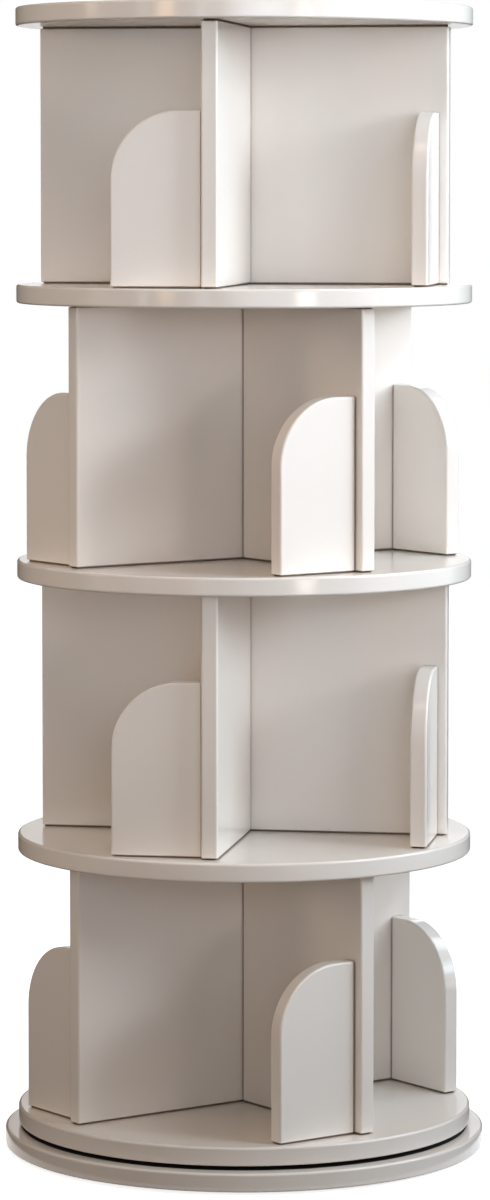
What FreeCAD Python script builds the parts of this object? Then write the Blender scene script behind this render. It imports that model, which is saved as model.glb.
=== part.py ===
import FreeCAD, Part
import math
import os

from FreeCAD import Placement, Rotation, Vector

# Rotating media tower: four open tiers of shelving that turn on one low base.
#
# The base is a round board on rubber pads. Nylon rollers, each on its own axle in a cup let into
# the base over a pad, carry the tower near its rim, and a bolt in a flanged bush keeps it centred.
# The tower is five round boards, one above the other, with a cross of dividers between each pair.
# The crosses of neighbouring tiers are twisted by 45 degrees. Each arm of a cross carries a short
# rounded stop on its clockwise side, so that cases and books can't slide out over the edge.
#
# The boards are joined like cabinet work: stub tenons at the feet and heads of the dividers stand
# in mortises in the round boards, and the edges of half dividers and stops are let into housings.
#
# Frame: millimetres, +Z up, origin on the floor under the pivot. Tier 1 is the lowest, and the
# dividers of the even tiers lie along X and Y.

# ---------------------------------------------------------------- driving dimensions, in mm
TIER_COUNT = 4
CLEAR_HEIGHT = 250.0            # free height of a tier
TWIST = 45.0                    # degrees between the crosses of neighbouring tiers
ARMS = 4                        # arms of a cross

SHELF_DIAMETER = 444.0
SHELF_THICKNESS = 18.0
BASE_PROUD = 13.0               # how far the base stands out past the tower all round
BASE_THICKNESS = 18.0
BASE_GAP = 4.0                  # open slit between the base and the turning tower
EDGE_EASE = 2.0                 # eased arris of the round boards and of the dividers' tips

DIVIDER_INSET = 21.0            # from a shelf's rim to the tips of its cross
DIVIDER_THICKNESS = 16.0

STOP_WIDTH = 88.0               # how far a stop stands out from its divider
STOP_HEIGHT = 166.0
STOP_THICKNESS = 16.0
STOP_CORNER_RADIUS = 65.0
STOP_SETBACK = 9.0              # from the divider's tip to the stop's outer face

TENON_LENGTH = 60.0
TENON_THICKNESS = 8.0
TENON_HEIGHT = 7.0
TENON_SETBACK = 51.0            # from the divider's tip to the tenon
HOUSING_DEPTH = 4.0             # how deep the edge of a half divider or stop is let in
JOINERY_ROOM = 0.1              # beside a tenon or a housed edge
MORTISE_END_ROOM = 0.5          # for glue, past the end of a tenon

PAD_DIAMETER = 28.0
PAD_THICKNESS = 3.0
PAD_INSET = 16.0                # from the base's rim to the pads

ROLLER_COUNT = 4                # with a pad of the base under each
ROLLER_DIAMETER = 16.0
ROLLER_WIDTH = 9.0
ROLLER_INSET = 37.0             # from the tower's rim to the middle of a roller
ROLLER_AIR = 0.3                # between a roller and the board that it carries
ROLLER_SIDE_ROOM = 0.5          # in its cup, at each end of the roller
ROLLER_TREAD_ROOM = 0.8         # in its cup, round the tread
AXLE_DIAMETER = 4.0
AXLE_INSET = 0.5                # from the cup's outer face to the axle's end
CUP_SIDE_WALL = 2.0
CUP_END_WALL = 4.5              # carries the axle
CUP_FLOOR = 1.5
POCKET_ROOM = 0.1               # between a cup and its pocket in the base
RUNNING_CLEARANCE = 0.05        # on the radius, where something turns on a shaft

BOLT_DIAMETER = 8.0
BOLT_HEAD_DIAMETER = 20.0
BOLT_HEAD_HEIGHT = 4.0
BOLT_HEAD_SINK = 1.0            # from the face of the bottom disc down to the head
BOLT_TIP_RISE = 0.5             # from the base's underside up to the bolt's tip
BOLT_HOLE_ROOM = 0.1            # on the radius, in the bottom disc and the washer
NUT_ACROSS_FLATS = 13.0
NUT_HEIGHT = 6.5
NUT_RECESS_DIAMETER = 30.0
NUT_RECESS_DEPTH = 9.5
WASHER_DIAMETER = 24.0
WASHER_THICKNESS = 1.5
WASHER_PLAY = 0.2               # between the washer and the roof of the nut's recess
BUSH_DIAMETER = 14.0
BUSH_FLANGE_DIAMETER = 30.0
BUSH_FLANGE_THICKNESS = 2.5
BUSH_ROOM = 0.05                # on the radius, in the base

# ---------------------------------------------------------------- levels and radii that follow
BASE_DIAMETER = SHELF_DIAMETER + 2 * BASE_PROUD
BASE_BOTTOM = PAD_THICKNESS
BASE_TOP = BASE_BOTTOM + BASE_THICKNESS
TOWER_BOTTOM = BASE_TOP + BASE_GAP
TIER_PITCH = CLEAR_HEIGHT + SHELF_THICKNESS

ARM_LENGTH = SHELF_DIAMETER / 2 - DIVIDER_INSET
ARM_FACE = DIVIDER_THICKNESS / 2
HOUSING_FLOOR = ARM_FACE - HOUSING_DEPTH
TENON_OUTER = ARM_LENGTH - TENON_SETBACK
STOP_OUTER = ARM_LENGTH - STOP_SETBACK
STOP_INNER = STOP_OUTER - STOP_THICKNESS
STOP_REACH = ARM_FACE + STOP_WIDTH

PAD_CIRCLE = BASE_DIAMETER / 2 - PAD_INSET - PAD_DIAMETER / 2

ROLLER_CIRCLE = SHELF_DIAMETER / 2 - ROLLER_INSET
ROLLER_ANGLES = [TWIST + 360.0 / ROLLER_COUNT * i for i in range(ROLLER_COUNT)]
ROLLER_RADIUS = ROLLER_DIAMETER / 2
AXLE_LEVEL = TOWER_BOTTOM - ROLLER_AIR - ROLLER_RADIUS
CAVITY_HALF_LENGTH = ROLLER_WIDTH / 2 + ROLLER_SIDE_ROOM
CAVITY_HALF_WIDTH = ROLLER_RADIUS + ROLLER_TREAD_ROOM
CAVITY_FLOOR = AXLE_LEVEL - CAVITY_HALF_WIDTH
CUP_HALF_LENGTH = CAVITY_HALF_LENGTH + CUP_END_WALL
CUP_HALF_WIDTH = CAVITY_HALF_WIDTH + CUP_SIDE_WALL
CUP_BOTTOM = CAVITY_FLOOR - CUP_FLOOR
AXLE_HALF_LENGTH = CUP_HALF_LENGTH - AXLE_INSET

BOLT_RADIUS = BOLT_DIAMETER / 2
BOLT_HEAD_TOP = TOWER_BOTTOM + SHELF_THICKNESS - BOLT_HEAD_SINK
BOLT_HEAD_SEAT = BOLT_HEAD_TOP - BOLT_HEAD_HEIGHT
RECESS_ROOF = BASE_BOTTOM + NUT_RECESS_DEPTH
WASHER_TOP = RECESS_ROOF - WASHER_PLAY
NUT_TOP = WASHER_TOP - WASHER_THICKNESS

UP = Vector(0, 0, 1)
ALONG = Vector(1, 0, 0)


# ---------------------------------------------------------------- simple forms and placings
def block(x, y, z):
    """A box that spans three (low, high) ranges."""
    sizes = [high - low for low, high in (x, y, z)]
    return Part.makeBox(*sizes, Vector(x[0], y[0], z[0]))


def rod(radius, low, high):
    """An upright cylinder on the Z axis."""
    return Part.makeCylinder(radius, high - low, Vector(0, 0, low))


def lying_rod(radius, half_length):
    """A cylinder along X at the level of the roller axles."""
    return Part.makeCylinder(radius, 2 * half_length, Vector(-half_length, 0, AXLE_LEVEL), ALONG)


def turn(degrees):
    return Placement(Vector(), Rotation(UP, degrees))


def move(x=0.0, z=0.0):
    return Placement(Vector(x, 0, z), Rotation())


def placed(shape, placement):
    copy = shape.copy()
    copy.Placement = placement.multiply(copy.Placement)
    return copy


def at_each_roller(shape, radius):
    """Copies of a shape on a circle, one at each roller, with their X axis pointing outwards."""
    spots = [turn(angle).multiply(move(radius)) for angle in ROLLER_ANGLES]
    return Part.makeCompound([placed(shape, spot) for spot in spots])


def arm_frames(tier):
    """A placement for each arm of a tier's cross: X along the arm, Z = 0 on the tier's floor."""
    floor = TOWER_BOTTOM + SHELF_THICKNESS + (tier - 1) * TIER_PITCH
    first = TWIST if tier % 2 else 0.0
    return [turn(first + 360.0 / ARMS * i).multiply(move(z=floor)) for i in range(ARMS)]


# ---------------------------------------------------------------- joinery of one arm, in its frame
def tenons(side_room=0.0, end_room=0.0):
    """The stub tenons at an arm's foot and head or, with room round them, the mortises for them."""
    half_thickness = TENON_THICKNESS / 2 + side_room
    reach = TENON_HEIGHT + end_room
    along = (TENON_OUTER - TENON_LENGTH - side_room, TENON_OUTER + side_room)
    across = (-half_thickness, half_thickness)
    return [block(along, across, (-reach, 0)), block(along, across, (CLEAR_HEIGHT, CLEAR_HEIGHT + reach))]


def stop_housing():
    """The groove in an arm's clockwise face that the root of its stop is let into."""
    along = (STOP_INNER - JOINERY_ROOM, STOP_OUTER + JOINERY_ROOM)
    return block(along, (-ARM_FACE, -HOUSING_FLOOR), (0, STOP_HEIGHT + JOINERY_ROOM))


def half_divider_housing():
    """The groove across the long divider that the inner edge of a half divider is let into."""
    half_width = ARM_FACE + JOINERY_ROOM
    return block((-half_width, half_width), (HOUSING_FLOOR, ARM_FACE), (0, CLEAR_HEIGHT))


# ---------------------------------------------------------------- boards
def eased(board, is_exposed):
    """The board with a small chamfer on the edges that a test picks out."""
    return board.makeChamfer(EDGE_EASE, [edge for edge in board.Edges if is_exposed(edge)])


def round_board(diameter, bottom, thickness):
    disc = rod(diameter / 2, bottom, bottom + thickness)
    return eased(disc, lambda edge: isinstance(edge.Curve, Part.Circle))


def shelf(level):
    """A board of the tower: level 0 is its floor, and level TIER_COUNT its top."""
    board = round_board(SHELF_DIAMETER, TOWER_BOTTOM + level * TIER_PITCH, SHELF_THICKNESS)
    mortises = [
        placed(mortise, frame)
        for tier in (level, level + 1) if 1 <= tier <= TIER_COUNT
        for frame in arm_frames(tier)
        for mortise in tenons(JOINERY_ROOM, MORTISE_END_ROOM)
    ]
    return board.cut([mortise for mortise in mortises if mortise.BoundBox.intersect(board.BoundBox)])


def bottom_disc():
    """The tower's floor, with a stepped hole for the pivot bolt."""
    hole = rod(BOLT_RADIUS + BOLT_HOLE_ROOM, TOWER_BOTTOM, BOLT_HEAD_TOP)
    sink = rod(BOLT_HEAD_DIAMETER / 2 + BOLT_HOLE_ROOM, BOLT_HEAD_SEAT, TOWER_BOTTOM + SHELF_THICKNESS)
    return shelf(0).cut([hole, sink])


def upright(near_end):
    """A divider board that stands on edge, from near_end out to an arm's tip."""
    board = block((near_end, ARM_LENGTH), (-ARM_FACE, ARM_FACE), (0, CLEAR_HEIGHT))

    def is_at_a_tip(edge):
        box = edge.BoundBox
        return box.ZLength > CLEAR_HEIGHT / 2 and abs(box.XMin) > ARM_LENGTH - EDGE_EASE

    return eased(board, is_at_a_tip)


def long_divider():
    """The full board of a cross, in the frame of its first arm."""
    ends = [turn(0), turn(180)]
    added = [placed(tenon, end) for end in ends for tenon in tenons()]
    removed = [placed(cut, end) for end in ends for cut in (stop_housing(), half_divider_housing())]
    return upright(-ARM_LENGTH).fuse(added).cut(removed)


def half_divider():
    """One of the two boards let into the middle of the long divider, in its own arm's frame."""
    return upright(HOUSING_FLOOR).fuse(tenons()).cut(stop_housing())


def stop():
    """An upright board across an arm, in the arm's frame, with its free top corner rounded."""
    centre = Vector(STOP_OUTER, STOP_CORNER_RADIUS - STOP_REACH, STOP_HEIGHT - STOP_CORNER_RADIUS)
    slant = STOP_CORNER_RADIUS * math.sqrt(0.5)
    side = centre + Vector(0, -STOP_CORNER_RADIUS, 0)
    bend = centre + Vector(0, -slant, slant)
    top = centre + Vector(0, 0, STOP_CORNER_RADIUS)
    root_top = Vector(STOP_OUTER, -HOUSING_FLOOR, STOP_HEIGHT)
    root_foot = Vector(STOP_OUTER, -HOUSING_FLOOR, 0)
    free_foot = Vector(STOP_OUTER, -STOP_REACH, 0)
    outline = Part.Wire([
        Part.makeLine(root_foot, free_foot),
        Part.makeLine(free_foot, side),
        Part.Arc(side, bend, top).toShape(),
        Part.makeLine(top, root_top),
        Part.makeLine(root_top, root_foot),
    ])
    return Part.Face(outline).extrude(ALONG * -STOP_THICKNESS)




# ---------------------------------------------------------------- base and turntable
def foot_pads():
    return at_each_roller(rod(PAD_DIAMETER / 2, 0, PAD_THICKNESS), PAD_CIRCLE)


def base_disc():
    """The board on the floor, with a pocket for each roller cup and a stepped hole for the bush."""
    disc = round_board(BASE_DIAMETER, BASE_BOTTOM, BASE_THICKNESS)
    half_length = CUP_HALF_LENGTH + POCKET_ROOM
    half_width = CUP_HALF_WIDTH + POCKET_ROOM
    pocket = block((-half_length, half_length), (-half_width, half_width), (CUP_BOTTOM, BASE_TOP))
    bore = rod(BUSH_DIAMETER / 2 + BUSH_ROOM, RECESS_ROOF, BASE_TOP)
    recess = rod(NUT_RECESS_DIAMETER / 2, BASE_BOTTOM, RECESS_ROOF)
    return disc.cut([at_each_roller(pocket, ROLLER_CIRCLE), bore, recess])


def roller():
    """A plain nylon wheel with a through bore."""
    bore = lying_rod(AXLE_DIAMETER / 2 + RUNNING_CLEARANCE, ROLLER_WIDTH)
    return lying_rod(ROLLER_RADIUS, ROLLER_WIDTH / 2).cut(bore)


def roller_axle():
    return lying_rod(AXLE_DIAMETER / 2, AXLE_HALF_LENGTH)


def roller_cup():
    """An open moulded box. Its end walls are slotted from above, and the axle lies in the slots."""
    length = (-CUP_HALF_LENGTH, CUP_HALF_LENGTH)
    cup = block(length, (-CUP_HALF_WIDTH, CUP_HALF_WIDTH), (CUP_BOTTOM, BASE_TOP))
    cavity = block(
        (-CAVITY_HALF_LENGTH, CAVITY_HALF_LENGTH),
        (-CAVITY_HALF_WIDTH, CAVITY_HALF_WIDTH),
        (CAVITY_FLOOR, BASE_TOP))
    seat_radius = AXLE_DIAMETER / 2 + RUNNING_CLEARANCE
    seat = lying_rod(seat_radius, CUP_HALF_LENGTH)
    slot = block(length, (-seat_radius, seat_radius), (AXLE_LEVEL, BASE_TOP))
    return cup.cut([cavity, seat, slot])


def pivot_bush():
    """The flanged sleeve that is pressed into the base, and that the bolt turns in."""
    sleeve = rod(BUSH_DIAMETER / 2, RECESS_ROOF, BASE_TOP)
    flange = rod(BUSH_FLANGE_DIAMETER / 2, BASE_TOP, BASE_TOP + BUSH_FLANGE_THICKNESS)
    bore = rod(BOLT_RADIUS + RUNNING_CLEARANCE, BASE_BOTTOM, TOWER_BOTTOM)
    return sleeve.fuse(flange).cut(bore)


def pivot_bolt():
    shank = rod(BOLT_RADIUS, BASE_BOTTOM + BOLT_TIP_RISE, BOLT_HEAD_SEAT)
    return shank.fuse(rod(BOLT_HEAD_DIAMETER / 2, BOLT_HEAD_SEAT, BOLT_HEAD_TOP))


def pivot_washer():
    hole = rod(BOLT_RADIUS + BOLT_HOLE_ROOM, NUT_TOP, WASHER_TOP)
    return rod(WASHER_DIAMETER / 2, NUT_TOP, WASHER_TOP).cut(hole)


def pivot_nut():
    """A plain hexagon nut, drawn without its thread."""
    corner = Vector(NUT_ACROSS_FLATS / math.sqrt(3), 0, NUT_TOP - NUT_HEIGHT)
    corners = [turn(60 * i).multVec(corner) for i in range(7)]
    hexagon = Part.Face(Part.makePolygon(corners)).extrude(UP * NUT_HEIGHT)
    return hexagon.cut(rod(BOLT_RADIUS + RUNNING_CLEARANCE, NUT_TOP - NUT_HEIGHT, NUT_TOP))


# ---------------------------------------------------------------- the assembly
def turntable():
    """The base with everything that the tower turns on."""
    nodes = {
        "foot_pads": foot_pads(),
        "base_disc": base_disc(),
        "roller_cups": at_each_roller(roller_cup(), ROLLER_CIRCLE),
        "roller_axles": at_each_roller(roller_axle(), ROLLER_CIRCLE),
        "pivot_bush": pivot_bush(),
        "pivot_bolt": pivot_bolt(),
        "pivot_washer": pivot_washer(),
        "pivot_nut": pivot_nut(),
    }
    for number, wheel in enumerate(at_each_roller(roller(), ROLLER_CIRCLE).Solids, start=1):
        nodes[f"roller_{number}"] = wheel
    return nodes


def round_boards():
    """The five boards that the tiers stand between."""
    nodes = {"bottom_disc": bottom_disc(), "top_disc": shelf(TIER_COUNT)}
    for level in range(1, TIER_COUNT):
        nodes[f"shelf_disc_{level}"] = shelf(level)
    return nodes


def cross(tier):
    """The dividers and stops of one tier. Half dividers stand on its second and fourth arm."""
    frames = arm_frames(tier)
    nodes = {
        "long_divider": placed(long_divider(), frames[0]),
        "half_divider_back": placed(half_divider(), frames[1]),
        "half_divider_front": placed(half_divider(), frames[3]),
    }
    for number, frame in enumerate(frames, start=1):
        nodes[f"stop_{number}"] = placed(stop(), frame)
    return {f"tier_{tier}_{name}": shape for name, shape in nodes.items()}


nodes = {**turntable(), **round_boards()}
for tier in range(1, TIER_COUNT + 1):
    nodes.update(cross(tier))

os.makedirs("parts", exist_ok=True)
for name, shape in nodes.items():
    piece = shape if len(shape.Solids) > 1 else shape.Solids[0]
    piece.exportStep(f"parts/{name}.step")
    print(name, len(shape.Solids), "solids,", round(shape.Volume), "mm3, valid:", piece.isValid())
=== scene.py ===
# %% [markdown]
# # Finishing a rotating media tower
#
# The tower is five round boards with a cross of upright boards between each pair. It turns on a
# low round base, above a 4 mm slit, on nylon rollers that are let into the base. All its boards
# are fibreboard with a smooth, warm white satin lacquer.
#
# The construction model already holds every piece at its real size, so nothing here is moved or
# resized. What it lacks is the finish: lacquered boards have soft round edges that catch the
# light, fine dark lines where one board stands on another, and a surface that is never quite
# flat. This lesson builds those boards as new meshes around the frame, makes the finishes and
# lights the tower.

import math

import bmesh
import bpy
from mathutils import Matrix, Vector


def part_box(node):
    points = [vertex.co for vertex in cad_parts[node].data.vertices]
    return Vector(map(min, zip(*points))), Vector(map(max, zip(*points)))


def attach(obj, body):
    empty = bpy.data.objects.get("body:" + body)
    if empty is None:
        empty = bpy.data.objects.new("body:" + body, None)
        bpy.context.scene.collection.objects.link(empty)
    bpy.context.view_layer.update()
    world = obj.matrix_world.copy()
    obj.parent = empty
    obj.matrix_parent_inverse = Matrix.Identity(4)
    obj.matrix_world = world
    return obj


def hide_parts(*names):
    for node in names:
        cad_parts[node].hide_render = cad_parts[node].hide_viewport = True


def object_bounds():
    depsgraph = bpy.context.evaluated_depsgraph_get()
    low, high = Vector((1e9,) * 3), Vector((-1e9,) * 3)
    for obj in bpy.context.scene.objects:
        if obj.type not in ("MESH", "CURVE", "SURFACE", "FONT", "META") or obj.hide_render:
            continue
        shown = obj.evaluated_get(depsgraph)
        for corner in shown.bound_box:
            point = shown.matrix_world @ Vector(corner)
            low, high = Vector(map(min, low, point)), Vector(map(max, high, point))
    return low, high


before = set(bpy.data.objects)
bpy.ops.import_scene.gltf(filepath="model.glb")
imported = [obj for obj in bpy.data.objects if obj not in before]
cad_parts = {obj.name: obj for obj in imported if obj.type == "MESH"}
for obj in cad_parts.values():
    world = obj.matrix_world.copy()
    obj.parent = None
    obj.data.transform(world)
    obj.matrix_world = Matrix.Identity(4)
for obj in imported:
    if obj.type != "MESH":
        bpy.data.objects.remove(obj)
cad_low, cad_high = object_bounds()
print("the tower is", round(cad_high.x - cad_low.x, 3), "m wide and", round(cad_high.z, 3), "m tall")

# %% [markdown]
# ## Measure the frame
#
# Every new board stands where its construction board does, so its size is read from the frame and
# not typed again. The heights come from the round boards, because the upright ones run on into
# them with hidden tenons. The second tier from the floor has its cross along X and Y, so its boxes
# give the thickness and reach of dividers and stops as they are.

# %% Helpers that read the frame
TIERS = (1, 2, 3, 4)
DISCS = ["bottom_disc", "shelf_disc_1", "shelf_disc_2", "shelf_disc_3", "top_disc"]


def rim_radius(node):
    """The largest radius that stays inside the node's box on every side."""
    low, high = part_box(node)
    return min(-low.x, -low.y, high.x, high.y)


def levels(node):
    """The heights of the lower and the upper face of a round board."""
    low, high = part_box(node)
    return low.z, high.z


def tier_levels(tier):
    """The floor and the ceiling of a tier."""
    return levels(DISCS[tier - 1])[1], levels(DISCS[tier])[0]


def mm(metres):
    """A size to print."""
    return f"{1000 * metres:.1f} mm"


for tier in TIERS:
    tier_floor, tier_ceiling = tier_levels(tier)
    print("tier", tier, "is", mm(tier_ceiling - tier_floor), "high inside")

# %% Read the sizes
divider_low, divider_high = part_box("tier_2_long_divider")
stop_low, stop_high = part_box("tier_2_stop_1")
ARM_LENGTH = divider_high.x
DIVIDER_THICKNESS = divider_high.y - divider_low.y
ARM_FACE = DIVIDER_THICKNESS / 2
STOP_REACH = -stop_low.y
STOP_HEIGHT = stop_high.z - tier_levels(2)[0]
print("dividers are", mm(DIVIDER_THICKNESS), "thick and arms", mm(ARM_LENGTH), "long")
print("stops reach", mm(STOP_REACH), "out and", mm(STOP_HEIGHT), "up")

# %% [markdown]
# ## The camera
#
# The tower is seen from far away with a long lens, a little above the middle and slightly from
# the right, so that its upper boards show their undersides and its lower boards their tops. Two
# ways keep the uprights parallel: shifting the sensor, or standing far back. Most of the work is
# done by the distance here, and a small shift does the rest, because the shift stays in every
# other view of the tower.

# %% Place the camera
CAMERA_AZIMUTH = math.radians(9.37)     # to the right of the front
CAMERA_DISTANCE = 4.351                 # from the tower's axis
CAMERA_HEIGHT = 0.946
CAMERA_HEADING = math.radians(9.36)     # it looks past the axis by a hair
CAMERA_PITCH = math.radians(3.82)       # down
CAMERA_LENS = 133.8                     # mm on a 36 mm sensor, along the long side
CAMERA_SHIFT = -0.1

camera = bpy.data.objects.new("camera", bpy.data.cameras.new("camera"))
bpy.context.scene.collection.objects.link(camera)
bpy.context.scene.camera = camera
camera.location = (CAMERA_DISTANCE * math.sin(CAMERA_AZIMUTH),
                   -CAMERA_DISTANCE * math.cos(CAMERA_AZIMUTH), CAMERA_HEIGHT)
camera.rotation_euler = (math.pi / 2 - CAMERA_PITCH, 0, CAMERA_HEADING)
camera.data.lens = CAMERA_LENS
camera.data.shift_y = CAMERA_SHIFT
print("the camera stands", CAMERA_DISTANCE, "m away at", CAMERA_HEIGHT, "m")

# %% [markdown]
# ## Shader sums that read like sums
#
# A finish is a small graph of nodes, and most of them only add, multiply or compare. Wiring those
# by hand hides the idea, so one class wraps a socket and lets Python's own operators add the Math
# nodes. A second class holds a graph, with one method that makes any other node, and a finish is a
# graph that ends in a Principled shader.

# %% A value in a shader
class Value:
    """An output socket. Sums with it add Math nodes, so 1 - mask is written as it is meant."""

    def __init__(self, graph, socket):
        self.graph = graph
        self.socket = socket

    def maths(self, operation, *operands):
        return self.graph.node("ShaderNodeMath", {"operation": operation}, dict(enumerate(operands)))

    def __add__(self, other):
        return self.maths("ADD", self, other)

    def __sub__(self, other):
        return self.maths("SUBTRACT", self, other)

    def __rsub__(self, other):
        return self.maths("SUBTRACT", other, self)

    def __mul__(self, other):
        return self.maths("MULTIPLY", self, other)

    __radd__ = __add__
    __rmul__ = __mul__


# %% A graph of nodes
class Graph:
    """The nodes of a material or of the world."""

    def __init__(self, tree):
        self.tree = tree

    def put(self, socket, value):
        """Links a value to a socket, or sets the socket to a plain number or colour."""
        if isinstance(value, Value):
            self.tree.links.new(value.socket, socket)
        else:
            socket.default_value = value

    def node(self, kind, settings=None, sockets=None, output=0):
        """Any node: its settings first, then its sockets, by identifier, name or number."""
        node = self.tree.nodes.new(kind)
        for setting, value in (settings or {}).items():
            setattr(node, setting, value)
        by_identifier = {socket.identifier: socket for socket in node.inputs}
        for key, value in (sockets or {}).items():
            self.put(by_identifier.get(key) or node.inputs[key], value)
        return Value(self, node.outputs[output])

    def rise(self, value, start, end):
        """0 while the value is under the start, 1 once it is past the end, and smooth between them."""
        return self.node("ShaderNodeMapRange", {"interpolation_type": "SMOOTHSTEP"}, {
            "Value": value, "From Min": start, "From Max": end})

    def tint(self, colour, other, mask):
        """One colour where the mask is 0 and the other where it is 1."""
        ends = [end if isinstance(end, Value) else (*end, 1) for end in (colour, other)]
        return self.node("ShaderNodeMix", {"data_type": "RGBA"}, {
            "Factor_Float": mask, "A_Color": ends[0], "B_Color": ends[1]}, output=2)

    def seen(self):
        """1 for what looks at a thing, also in a mirror or through glass, and 0 for its light."""
        rays = [self.node("ShaderNodeLightPath", output=kind)
                for kind in ("Is Camera Ray", "Is Glossy Ray", "Is Transmission Ray")]
        return rays[0] + rays[1] + rays[2]


# %% A finish
class Finish(Graph):
    """A material with a Principled shader. Constants go straight onto the shader's own sockets."""

    def __init__(self, name, **constants):
        self.material = bpy.data.materials.new(name)
        self.material.use_nodes = True
        super().__init__(self.material.node_tree)
        self.shader = self.tree.nodes["Principled BSDF"]
        for socket_name, value in constants.items():
            self.drive(socket_name.replace("_", " "), value)

    def drive(self, socket_name, value):
        self.put(self.shader.inputs[socket_name], value)

    def noise(self, size, detail=2.0):
        """Soft noise from 0 to 1 whose lumps are about size metres across."""
        place = self.node("ShaderNodeTexCoord", output="Object")
        return self.node("ShaderNodeTexNoise", {"normalize": True}, {
            "Vector": place, "Scale": 1 / size, "Detail": detail})

    def sheen(self, grain, smoothest, spread):
        """Drives the roughness, which is at its smoothest where the grain is 0."""
        self.drive("Roughness", smoothest + spread * grain)

    def bump(self, height, depth):
        """Drives the normal from a height of 0 to 1 that stands for depth metres."""
        self.drive("Normal", self.node("ShaderNodeBump", sockets={
            "Strength": 1.0, "Distance": depth, "Height": height}))


# %% [markdown]
# ## The lacquer
#
# Sprayed lacquer on fibreboard is not a flat colour. The film pulls into a very fine orange peel,
# the sheen varies a little over a hand's width where the spray gun passed, and the white is
# slightly warmer where the film is thin. A picture texture could hold all that, but noise at two
# real sizes does it on every board without a seam, and follows the board when the tower turns.
#
# In the joints between the boards the lacquer darkens to a brown, which is painted shade. An Ambient
# Occlusion node finds the joints: it is 1 in the open and sinks towards 0 within a few millimetres of
# another board.

# %% Mix the lacquer
LACQUER = (0.84, 0.79, 0.735)
LACQUER_THIN = (0.82, 0.765, 0.71)
# The next colour is painted shade: the brown that the lacquer darkens to in the joints.
JOINT_PAINTED_SHADE = (0.55, 0.47, 0.4)
JOINT_REACH = 0.003                     # how far from a neighbour the painted shade shows, at most
ALL_PAINTED_SHADE, NO_PAINTED_SHADE = 0.5, 0.8                 # how open a spot is that is all painted shade, and one that has none

lacquer = Finish("lacquered_board", IOR=1.5)
passes = lacquer.noise(size=0.12)
peel = lacquer.noise(size=0.0025, detail=3.0)
openness = lacquer.node("ShaderNodeAmbientOcclusion", {"samples": 8}, {"Distance": JOINT_REACH},
                        output="AO")
film = lacquer.tint(LACQUER, LACQUER_THIN, passes)
unshaded = lacquer.rise(openness, ALL_PAINTED_SHADE, NO_PAINTED_SHADE)
# Painted shade: the lacquer darkens towards that brown wherever a neighbouring board is near.
lacquer.drive("Base Color", lacquer.tint(film, JOINT_PAINTED_SHADE, 1 - unshaded))
lacquer.sheen(passes, smoothest=0.12, spread=0.05)
lacquer.bump(peel, depth=0.00003)
print("lacquer has", len(lacquer.tree.nodes), "nodes")

# %% [markdown]
# ## Nylon and steel
#
# The running gear is hardly seen, but it is there in the slit and under the base. Moulded nylon
# is a milky plastic with a fine sparked grain. Zinc-plated steel is a metal with a mottled sheen.
# Each could have a noise for its roughness and another for its bump. One noise drives both here,
# because it is the raised grain that dulls the real parts, too.

# %% Mix nylon and steel
NYLON = (0.75, 0.74, 0.70, 1)
STEEL = (0.62, 0.62, 0.63, 1)

nylon = Finish("nylon", Base_Color=NYLON, IOR=1.53)
nylon_grain = nylon.noise(size=0.0006)
nylon.sheen(nylon_grain, smoothest=0.42, spread=0.1)
nylon.bump(nylon_grain, depth=0.00002)

steel = Finish("steel", Base_Color=STEEL, Metallic=1.0)
plating = steel.noise(size=0.001, detail=4.0)
steel.sheen(plating, smoothest=0.26, spread=0.14)
steel.bump(plating, depth=0.00001)
print("nylon has", len(nylon.tree.nodes), "nodes and steel", len(steel.tree.nodes))

# %% [markdown]
# ## Painted slit shade and rubber
#
# The two faces inside the slit get no lacquer but a near black, which is painted shade, so that the
# slit reads as a crisp black line. The pads are black rubber with a dull, dusty skin. Flat black would
# look like a hole in both places, so each mixes two near blacks by its noise.

# %% Mix the painted slit shade and rubber
# Painted shade: these two near blacks stand in for the shade inside the slit.
PAINTED_SLIT_SHADE, PAINTED_SLIT_SHADE_MOTTLED = (0.012, 0.010, 0.009), (0.022, 0.019, 0.017)
RUBBER, RUBBER_DUSTY = (0.03, 0.03, 0.03), (0.07, 0.068, 0.065)

slit_shade = Finish("slit_shade", IOR=1.4)
slit_mottle = slit_shade.noise(size=0.01, detail=4.0)
slit_shade.drive("Base Color", slit_shade.tint(PAINTED_SLIT_SHADE, PAINTED_SLIT_SHADE_MOTTLED, slit_mottle))
slit_shade.sheen(slit_mottle, smoothest=0.55, spread=0.2)

rubber = Finish("rubber", IOR=1.52)
dust = rubber.noise(size=0.004, detail=5.0)
rubber.drive("Base Color", rubber.tint(RUBBER, RUBBER_DUSTY, dust))
rubber.sheen(dust, smoothest=0.7, spread=0.2)
rubber.bump(dust, depth=0.0001)
print("the sealer has", len(slit_shade.tree.nodes), "nodes and rubber", len(rubber.tree.nodes))

# %% [markdown]
# Rollers, axles and the rest could be built again with finer facets, as the boards are below. So
# little of them shows that their construction meshes will do, and they only take their finish.

# %% Finish the running gear
RUNNING_GEAR = {
    nylon: ["roller_cups", "pivot_bush", "roller_1", "roller_2", "roller_3", "roller_4"],
    steel: ["roller_axles", "pivot_bolt", "pivot_washer", "pivot_nut"],
    rubber: ["foot_pads"],
}


def coat(thing, finish):
    """Gives a thing one finish all over."""
    thing.data.materials.clear()
    thing.data.materials.append(finish.material)


for finish, nodes in RUNNING_GEAR.items():
    for node in nodes:
        coat(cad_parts[node], finish)
    print(finish.material.name, "is on", ", ".join(nodes))

# %% [markdown]
# ## Round boards
#
# A round board is turned from its cross-section. Starting from a cylinder and rounding its edges
# would do as well, but the section shows the shape at once: flat faces, and a quarter circle at
# each corner of the rim. The section of the bottom board and of the base goes round a stepped hole
# for the pivot, so those two are rings.

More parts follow.
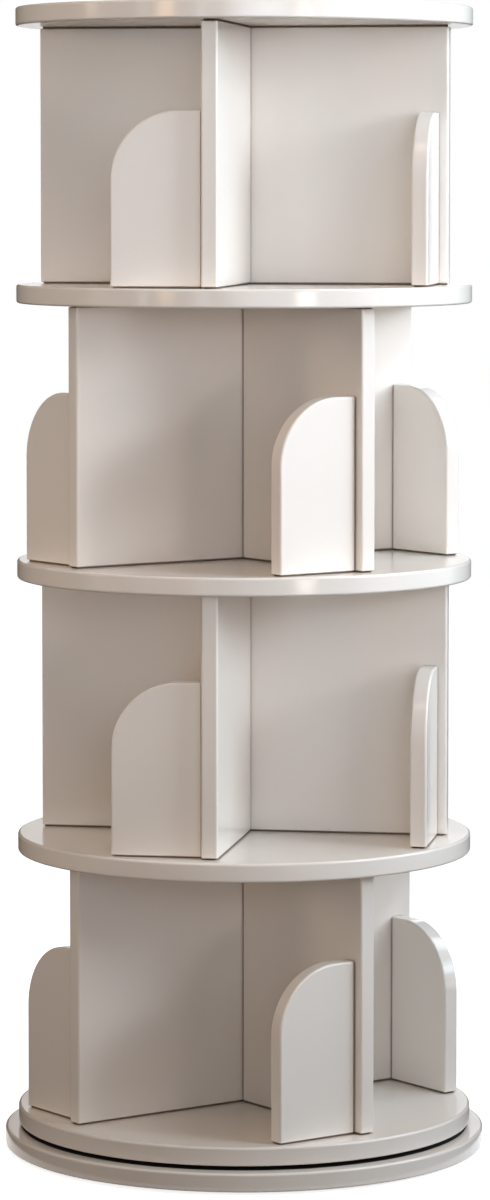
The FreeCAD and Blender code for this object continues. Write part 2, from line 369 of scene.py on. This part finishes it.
# %% Turn a section about the axis
EASE_RADIUS = 0.0024                    # round edges, where a hand can reach them
EASE_STEPS = 6
STEPS_AROUND = 360
SAME_POINT = 1e-6                       # corners closer than this become one


def rim(radius, low, high):
    """The section of a rim from its lower face to its upper face, as (radius, height) points."""
    points = []
    for centre_height, first_angle in ((low + EASE_RADIUS, -90), (high - EASE_RADIUS, 0)):
        for step in range(EASE_STEPS + 1):
            angle = math.radians(first_angle + 90 * step / EASE_STEPS)
            points.append((radius - EASE_RADIUS + EASE_RADIUS * math.cos(angle),
                           centre_height + EASE_RADIUS * math.sin(angle)))
    return points


def turned(section):
    """A closed mesh made by turning a section of (radius, height) points about the Z axis."""
    shape = bmesh.new()
    corners = [shape.verts.new((radius, 0, height)) for radius, height in section]
    runs = list(zip(corners, corners[1:]))
    if section[0][0] > 0:
        runs.append((corners[-1], corners[0]))
    lines = [shape.edges.new(run) for run in runs]
    bmesh.ops.spin(shape, geom=corners + lines, axis=(0, 0, 1), angle=math.tau,
                   steps=STEPS_AROUND, use_merge=True)
    bmesh.ops.remove_doubles(shape, verts=shape.verts, dist=SAME_POINT)
    bmesh.ops.recalc_face_normals(shape, faces=shape.faces)
    return shape


# %% A finished piece
def made(shape, name):
    """Turns a bmesh into an object of the scene."""
    mesh = bpy.data.meshes.new(name)
    shape.to_mesh(mesh)
    shape.free()
    thing = bpy.data.objects.new(name, mesh)
    bpy.context.scene.collection.objects.link(thing)
    return thing


def finished(shape, node, body):
    """Turns a bmesh into a lacquered piece that stands for a node and rides on its body."""
    piece = made(shape, node + "_board")
    piece.data.shade_smooth()
    coat(piece, lacquer)
    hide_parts(node)
    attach(piece, body)
    return piece


def crisp(piece):
    """Lets the large flat faces decide the shading, so that only the edges look round."""
    weigh = piece.modifiers.new("flat faces lead", "WEIGHTED_NORMAL")
    weigh.mode = "FACE_AREA"


# %% [markdown]
# The stepped hole of the bottom board takes the bolt's head from above. That of the base takes the
# bush from above and, from below, the nut. Each could be cut out afterwards, but as a part of the
# section it comes with the board.

# %% Sections of the round boards
# The painted shade inside the slit reaches out to this radius.
SLIT_SHADE_RADIUS = rim_radius("bottom_disc") - EASE_RADIUS


def plain_disc(node):
    """A round board without a hole."""
    low, high = levels(node)
    return turned([(0, low)] + rim(rim_radius(node), low, high) + [(0, high)])


def stepped_ring(node, lower_radius, upper_radius, step):
    """A round board with a hole that changes its radius at the height of the step."""
    low, high = levels(node)
    hole = [(SLIT_SHADE_RADIUS, high), (upper_radius, high), (upper_radius, step), (lower_radius, step),
            (lower_radius, low)]
    return turned(rim(rim_radius(node), low, high) + hole)


print("the sealer will reach out to", mm(SLIT_SHADE_RADIUS), "from the axis")

# %% Make the round boards
BOLT_HOLE_RADIUS = 0.0041
BOLT_SINK_RADIUS = 0.0101
BOLT_HEAD_HEIGHT = 0.004
BOLT_HEAD_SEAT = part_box("pivot_bolt")[1].z - BOLT_HEAD_HEIGHT
BUSH_RADIUS = 0.00705
NUT_RECESS_RADIUS = 0.015
NUT_RECESS_ROOF = 0.0125

bottom_board = finished(stepped_ring("bottom_disc", BOLT_HOLE_RADIUS, BOLT_SINK_RADIUS, BOLT_HEAD_SEAT),
                        "bottom_disc", "tower")
base_board = finished(stepped_ring("base_disc", NUT_RECESS_RADIUS, BUSH_RADIUS, NUT_RECESS_ROOF),
                      "base_disc", "base")
round_boards = [bottom_board, base_board]
for node in DISCS[1:]:
    round_boards.append(finished(plain_disc(node), node, "tower"))
print(len(round_boards), "round boards, the base", mm(2 * rim_radius("base_disc")), "across")

# %% Paint shade on the two faces inside the slit
AT_THE_HEIGHT = EASE_RADIUS / 100       # faces nearer to a height than this lie at it


def paint_slit_shade(board, height):
    """Gives the flat face at a height, inside the slit, its painted shade."""
    board.data.materials.append(slit_shade.material)
    for face in board.data.polygons:
        middle = face.center
        if abs(middle.z - height) < AT_THE_HEIGHT and middle.xy.length < SLIT_SHADE_RADIUS:
            face.material_index = 1


# The faces inside the slit get their painted shade.
paint_slit_shade(bottom_board, levels("bottom_disc")[0])
paint_slit_shade(base_board, levels("base_disc")[1])
print("the slit is", mm(levels("bottom_disc")[0] - levels("base_disc")[1]), "high")

# %% [markdown]
# The cups of the rollers stand in four pockets of the base. No turned section has such pockets, so
# four blocks cut them out with a Boolean. It is carried out at once, so that the blocks can go.

# %% Cut the pockets of the roller cups
POCKET_HALF_LENGTH = 0.0096
POCKET_HALF_WIDTH = 0.0109
POCKET_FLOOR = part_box("roller_cups")[0].z
ROLLER_CIRCLE = 0.185
ARM_ANGLES = (0, 90, 180, 270)          # of a cross, counter-clockwise from its first arm
TWIST = 45                              # degrees, the turn of the rollers and of the odd tiers


def pocket_blocks():
    """The four blocks that the pockets are cut with. They stand out above the base."""
    shape = bmesh.new()
    top = levels("base_disc")[1] + EASE_RADIUS
    size = Matrix.Diagonal((2 * POCKET_HALF_LENGTH, 2 * POCKET_HALF_WIDTH, top - POCKET_FLOOR, 1))
    middle = Matrix.Translation((ROLLER_CIRCLE, 0, (top + POCKET_FLOOR) / 2))
    for angle in ARM_ANGLES:
        spot = Matrix.Rotation(math.radians(angle + TWIST), 4, "Z")
        bmesh.ops.create_cube(shape, size=1, matrix=spot @ middle @ size)
    return shape


def carve(board, blocks):
    """Cuts blocks out of a board's mesh for good."""
    cut = board.modifiers.new("pockets", "BOOLEAN")
    cut.operation = "DIFFERENCE"
    cut.object = blocks
    bpy.context.view_layer.update()
    result = board.evaluated_get(bpy.context.evaluated_depsgraph_get())
    carved = bpy.data.meshes.new_from_object(result)
    board.modifiers.clear()
    board.data = carved
    bpy.data.objects.remove(blocks)


carve(base_board, made(pocket_blocks(), "pockets"))
for board in round_boards:
    crisp(board)
print("the base has", len(base_board.data.polygons), "faces with its pockets")

# %% [markdown]
# ## Upright boards
#
# Dividers and stops are flat boards: an outline with a thickness. Each is drawn once in the frame
# of its arm, with X along the arm, and then turned to its place. Its free edges get the same round
# as the rims, with a bevel that has a weight on each edge and keeps the corners clean.
#
# Where one lacquered board meets another, the two films never close up: a little room stays between
# them, and it shows as a fine dark line. Painting that line would do for one lamp. Here the line is
# real: the end of a board is stepped back all round, and only a neck touches its neighbour, so the line
# darkens and fades as light falls into it. The lacquer darkens it further with painted shade. The step
# is higher than two films would leave it, so that the line still shows from some metres away.

# %% A board with necks
JOINT_GAP = 0.0014                      # the height of the dark line
JOINT_DEPTH = 0.0025                    # how far it runs in under the board


def slab(outline, depth):
    """A flat board: a closed outline of points, pushed out along depth."""
    shape = bmesh.new()
    face = shape.faces.new([shape.verts.new(point) for point in outline])
    pushed = bmesh.ops.extrude_face_region(shape, geom=[face])["geom"]
    moved = [part for part in pushed if isinstance(part, bmesh.types.BMVert)]
    bmesh.ops.translate(shape, verts=moved, vec=depth)
    bmesh.ops.recalc_face_normals(shape, faces=shape.faces)
    return shape


def neck(shape, towards):
    """Steps back the end of a board that looks towards a direction, and returns the neck's corners."""
    end = max(shape.faces, key=lambda face: face.normal.dot(towards))
    bmesh.ops.translate(shape, verts=end.verts, vec=-JOINT_GAP * towards)
    bmesh.ops.inset_region(shape, faces=[end], thickness=JOINT_DEPTH, use_even_offset=True)
    walls = bmesh.ops.inset_region(shape, faces=[end], thickness=0, depth=JOINT_GAP)["faces"]
    return {corner for wall in walls for corner in wall.verts}


print("joint lines are", mm(JOINT_GAP), "high and", mm(JOINT_DEPTH), "deep")

# %% Eased edges
SHARP = math.radians(30)                # an edge that turns by more than this is eased


def ease(shape, necks, radius_of):
    """Weighs the sharp edges of a board, but for those of its necks. radius_of gives each a radius."""
    weight = shape.edges.layers.float.new("bevel_weight_edge")
    for edge in shape.edges:
        if edge.calc_face_angle(0) > SHARP and necks.isdisjoint(edge.verts):
            edge[weight] = radius_of(edge) / EASE_RADIUS


def eased(piece):
    """Carries the weights out as real roundings."""
    bevel = piece.modifiers.new("eased edges", "BEVEL")
    bevel.limit_method = "WEIGHT"
    bevel.width = EASE_RADIUS
    bevel.segments = EASE_STEPS
    crisp(piece)


# %% [markdown]
# The long divider of a cross runs right across the tower. The two half dividers end at its faces,
# so they have a third neck there. The upright edges at the tips are where a hand goes, and they get
# the full round. The others run along joints and are just broken.

# %% Dividers
JOINT_EASE = 0.0012                     # broken edges along the joints
DOWN, UP = Vector((0, 0, -1)), Vector((0, 0, 1))
INWARDS = Vector((-1, 0, 0))            # to the tower's axis, in the frame of an arm


def edge_middle(edge):
    """The point halfway along an edge."""
    return (edge.verts[0].co + edge.verts[1].co) / 2


def divider(tier, near_end):
    """A divider board from near_end out to the arm's tip, in the frame of its arm."""
    floor, ceiling = tier_levels(tier)
    outline = [(near_end, -ARM_FACE, floor), (ARM_LENGTH, -ARM_FACE, floor),
               (ARM_LENGTH, ARM_FACE, floor), (near_end, ARM_FACE, floor)]
    board = slab(outline, (0, 0, ceiling - floor))
    necks = neck(board, DOWN) | neck(board, UP)
    if near_end > 0:
        necks |= neck(board, INWARDS)

    def radius_of(edge):
        is_upright = abs(edge.verts[0].co.z - edge.verts[1].co.z) > ARM_FACE
        is_at_a_tip = abs(edge_middle(edge).x) > ARM_LENGTH - ARM_FACE
        return EASE_RADIUS if is_upright and is_at_a_tip else JOINT_EASE

    ease(board, necks, radius_of)
    return board


# %% [markdown]
# A stop stands across the tip of its arm, on the clockwise side, and keeps what is in the bay from
# sliding out. Its free top corner is a quarter circle. Where it meets the round board and its arm
# it has a neck, as the dividers do, and all its other edges are rounded. A bevel could draw the
# corner, too, but as a part of the outline it keeps its exact radius.

# %% Stops
STOP_CORNER_RADIUS = 0.065
CORNER_STEPS = 32
TO_THE_ARM = Vector((0, 1, 0))          # from a stop to the arm that it stands across


def stop(tier):
    """A stop with its free top corner rounded, in the frame of its arm."""
    floor = tier_levels(tier)[0]
    centre_y = STOP_CORNER_RADIUS - STOP_REACH
    centre_z = floor + STOP_HEIGHT - STOP_CORNER_RADIUS
    outline = [(stop_high.x, -ARM_FACE, floor + STOP_HEIGHT), (stop_high.x, -ARM_FACE, floor),
               (stop_high.x, -STOP_REACH, floor)]
    for step in range(CORNER_STEPS + 1):
        angle = math.radians(90 * step / CORNER_STEPS)
        outline.append((stop_high.x, centre_y - STOP_CORNER_RADIUS * math.cos(angle),
                        centre_z + STOP_CORNER_RADIUS * math.sin(angle)))
    board = slab(outline, (stop_low.x - stop_high.x, 0, 0))
    necks = neck(board, DOWN) | neck(board, TO_THE_ARM)

    def radius_of(edge):
        middle = edge_middle(edge)
        is_at_root = middle.y > -ARM_FACE - 2 * JOINT_GAP
        is_at_foot = middle.z < floor + 2 * JOINT_GAP
        return JOINT_EASE if is_at_root or is_at_foot else EASE_RADIUS

    ease(board, necks, radius_of)
    return board


# %% [markdown]
# Each tier has one cross with four stops. The crosses of the odd tiers are turned by 45 degrees,
# which makes the tower look twisted. Copies of one cross would do, but every board has to stand for
# a piece of its own, so a loop makes each one.

# %% Stand the crosses up
uprights = []


def stand(shape, node, angle):
    """Turns a board from the frame of its arm to its place and finishes it."""
    shape.transform(Matrix.Rotation(math.radians(angle), 4, "Z"))
    piece = finished(shape, node, "tower")
    eased(piece)
    uprights.append(piece)


for tier in TIERS:
    first = TWIST if tier % 2 else 0
    stand(divider(tier, -ARM_LENGTH), f"tier_{tier}_long_divider", first)
    stand(divider(tier, ARM_FACE), f"tier_{tier}_half_divider_back", first + 90)
    stand(divider(tier, ARM_FACE), f"tier_{tier}_half_divider_front", first + 270)
    for number, angle in enumerate(ARM_ANGLES, start=1):
        stand(stop(tier), f"tier_{tier}_stop_{number}", first + angle)
print(len(uprights), "upright boards")

# %% [markdown]
# ## The studio
#
# The tower stands on pale paper that takes its shadow. Lamps could make that paper white, but they
# would whiten the tower as well. So the paper glows by itself, and more so away from the tower,
# until it is as white as the surround. It glows only for what looks at it, directly or in a
# reflection, and lights nothing.

# %% Mix the paper
BLACK, WHITE = (0, 0, 0), (1, 1, 1)
PAPER_SEEN = (0.85, 0.85, 0.85)
PAPER_AS_A_LIGHT = (0.2, 0.17, 0.14)    # for the light that it throws back onto the tower
NEAR_GLOW = 0.8                         # at the tower, where the paper shows its shadow
NEAR, FAR = 0.3, 1.1                    # metres from the axis, where the glow starts and ends to rise

paper = Finish("paper", Roughness=0.9, Emission_Strength=1.0)
paper.drive("Base Color", paper.tint(PAPER_AS_A_LIGHT, PAPER_SEEN, paper.seen()))
place = paper.node("ShaderNodeTexCoord", output="Object")
away = paper.node("ShaderNodeVectorMath", {"operation": "LENGTH"}, {0: place}, output="Value")
glow = NEAR_GLOW + (1 - NEAR_GLOW) * paper.rise(away, NEAR, FAR)
paper.drive("Emission Color", paper.tint(BLACK, WHITE, glow * paper.seen()))
print("paper has", len(paper.tree.nodes), "nodes")

# %% A paper floor
bpy.context.scene.view_settings.view_transform = "Standard"

FLOOR_SIZE = 12.0

paper_sheet = bmesh.new()
bmesh.ops.create_grid(paper_sheet, x_segments=1, y_segments=1, size=FLOOR_SIZE / 2)
floor = made(paper_sheet, "floor")
coat(floor, paper)
print("the floor is", FLOOR_SIZE, "m wide")

# %% [markdown]
# The surround is white for what looks at it and only a faint, warm light for everything else. A
# white surround that lit the tower would be less work, but it would leave no shade in the bays.

# %% A white surround
AMBIENT = (0.09, 0.073, 0.055)

world = bpy.data.worlds.new("surround")
bpy.context.scene.world = world
world.use_nodes = True
surround = Graph(world.node_tree)
surround.put(world.node_tree.nodes["Background"].inputs["Color"],
             surround.tint(AMBIENT, WHITE, surround.seen()))
print("the surround has", len(surround.tree.nodes), "nodes")

# %% [markdown]
# A white thing in a white room loses its outline, because its edges mirror the room. Photographers
# stand dark cards to both sides behind it, just outside the picture, and the edges mirror those
# instead, while the tops of the boards still mirror the white between them. A third card lies on
# the floor round the base, with a hole that leaves the paper bare near the tower, so that the
# lowest boards mirror a dark floor. These cards are only there for reflections: they shade
# nothing and the camera looks through them.

# %% Shapes of the cards
CARD_PLANS = {                          # the corners of each standing card, seen from above
    "card_left": [(-0.6, 1.6), (-1.6, 1.6), (-1.6, -0.6)],
    "card_right": [(0.1, 1.6), (1.6, 1.6)],
}
CARD_HEIGHT = 3.0
FLOOR_CARD_RADII = (0.26, 3.0)          # of its hole and of its edge
FLOOR_CARD_LIFT = 0.001                 # above the paper


def standing_card(plan):
    """An upright sheet over its plan."""
    shape = bmesh.new()
    foot, head = [[shape.verts.new((x, y, z)) for x, y in plan] for z in (0, CARD_HEIGHT)]
    for side in range(len(plan) - 1):
        shape.faces.new((foot[side], foot[side + 1], head[side + 1], head[side]))
    return shape


def lying_card():
    """A flat ring just above the paper."""
    shape = bmesh.new()
    ends = [shape.verts.new((radius, 0, FLOOR_CARD_LIFT)) for radius in FLOOR_CARD_RADII]
    bmesh.ops.spin(shape, geom=ends + [shape.edges.new(ends)], axis=(0, 0, 1), angle=math.tau,
                   steps=STEPS_AROUND, use_merge=True)
    return shape


# %% Set the cards up
CARD_COLOUR = (0.03, 0.025, 0.02, 1)

card_finish = Finish("card", Base_Color=CARD_COLOUR, Roughness=1.0)


def card(name, shape):
    """Makes a card that is seen in reflections alone."""
    thing = made(shape, name)
    coat(thing, card_finish)
    thing.visible_camera = False
    thing.visible_diffuse = False
    thing.visible_shadow = False


for name, plan in CARD_PLANS.items():
    card(name, standing_card(plan))
card("card_floor", lying_card())
print(len(CARD_PLANS), "standing cards,", CARD_HEIGHT, "m tall, and one on the floor")

# %% [markdown]
# The lamps are softboxes four metres away, most of them square. The strongest stand to the right:
# one alone would draw a hard shadow of every stop, and several next to each other draw a soft one.
# Those to the left give less light, and warmer, as light is that has been round a room. Nearly all
# look at the upper tiers, so the light falls off towards the floor.
#
# The rims mirror the lamps. Two long low strips brighten long stretches of them. The two lamps in
# front with a narrow spread leave a bright spot on the right and a warm one on the left, and two
# narrow upright lamps leave faint stripes.

# %% A softbox
LAMP_DISTANCE = 4.0                     # from the middle of the tower
TOWER_MIDDLE = Vector((0, 0, (cad_low.z + cad_high.z) / 2))
UPPER_TIER = 1.1                        # the height that most lamps look at
WIDE, NARROW = math.radians(45), math.radians(14)


def softbox(name, azimuth, elevation, size, power, colour, aim=UPPER_TIER, spread=WIDE, tall=None):
    """A lamp, square unless tall says otherwise. Azimuth 0 is the front, 90 the right, and it looks
    at the axis at the aim's height."""
    lamp = bpy.data.objects.new(name, bpy.data.lights.new(name, "AREA"))
    bpy.context.scene.collection.objects.link(lamp)
    lamp.data.shape = "RECTANGLE"
    lamp.data.size = size
    lamp.data.size_y = tall or size
    lamp.data.spread = spread
    lamp.data.energy = power
    lamp.data.color = colour
    turn, lift = math.radians(azimuth), math.radians(elevation)
    away = Vector((math.sin(turn) * math.cos(lift), -math.cos(turn) * math.cos(lift), math.sin(lift)))
    lamp.location = TOWER_MIDDLE + LAMP_DISTANCE * away
    lamp.rotation_euler = (lamp.location - Vector((0, 0, aim))).to_track_quat("Z", "Y").to_euler()


# %% Lamps
# name, azimuth, elevation, size in metres, power in watts, colour
softbox("key", 75, 20, 1.2, 4.8, (0.93, 1.0, 1.07))
softbox("key_high", 75, 45, 1.2, 3.3, (0.82, 1.0, 1.17))
softbox("key_right", 95, 20, 1.2, 3.4, (0.81, 1.0, 1.14))
softbox("strip_right", 60, 11, 2.2, 0.8, (0.95, 1.0, 1.09), tall=0.4)
softbox("right", 82, 2, 2.5, 1.1, (1.23, 1.0, 0.91))
softbox("low_right", 110, 12, 1.6, 1.3, (0.72, 1.0, 1.18))
softbox("back_right", 125, 45, 2.0, 5.2, (0.96, 1.0, 1.1), aim=0.8)
softbox("front_right", 40, 5, 2.0, 1.0, (1.13, 1.0, 0.95), aim=1.05, spread=NARROW)
softbox("front", 15, 15, 2.0, 2.4, (0.91, 1.0, 1.13))
softbox("strip_front", 20, 10, 2.6, 0.6, (0.95, 1.0, 1.09), tall=0.3)
softbox("front_left", -30, 10, 2.0, 0.5, (1.5, 1.0, 0.55), aim=1.05, spread=NARROW)
softbox("top", 0, 65, 2.0, 2.4, (1.31, 1.0, 0.78))
softbox("left", -75, 15, 2.0, 1.2, (1.25, 1.0, 0.78), aim=1.05, spread=NARROW)
softbox("back_left", -100, 25, 2.0, 3.6, (1.05, 1.0, 0.98))
softbox("back", 195, 30, 2.0, 2.4, (1.0, 1.0, 1.0))
softbox("glint_front", -11, 4, 0.3, 0.2, (0.9, 1.0, 1.1), tall=1.2)
softbox("glint_left", -41, 4, 0.3, 0.2, (1.0, 1.0, 1.0), tall=1.2)
print(len(bpy.data.lights), "lamps with", round(sum(light.energy for light in bpy.data.lights), 1), "W")
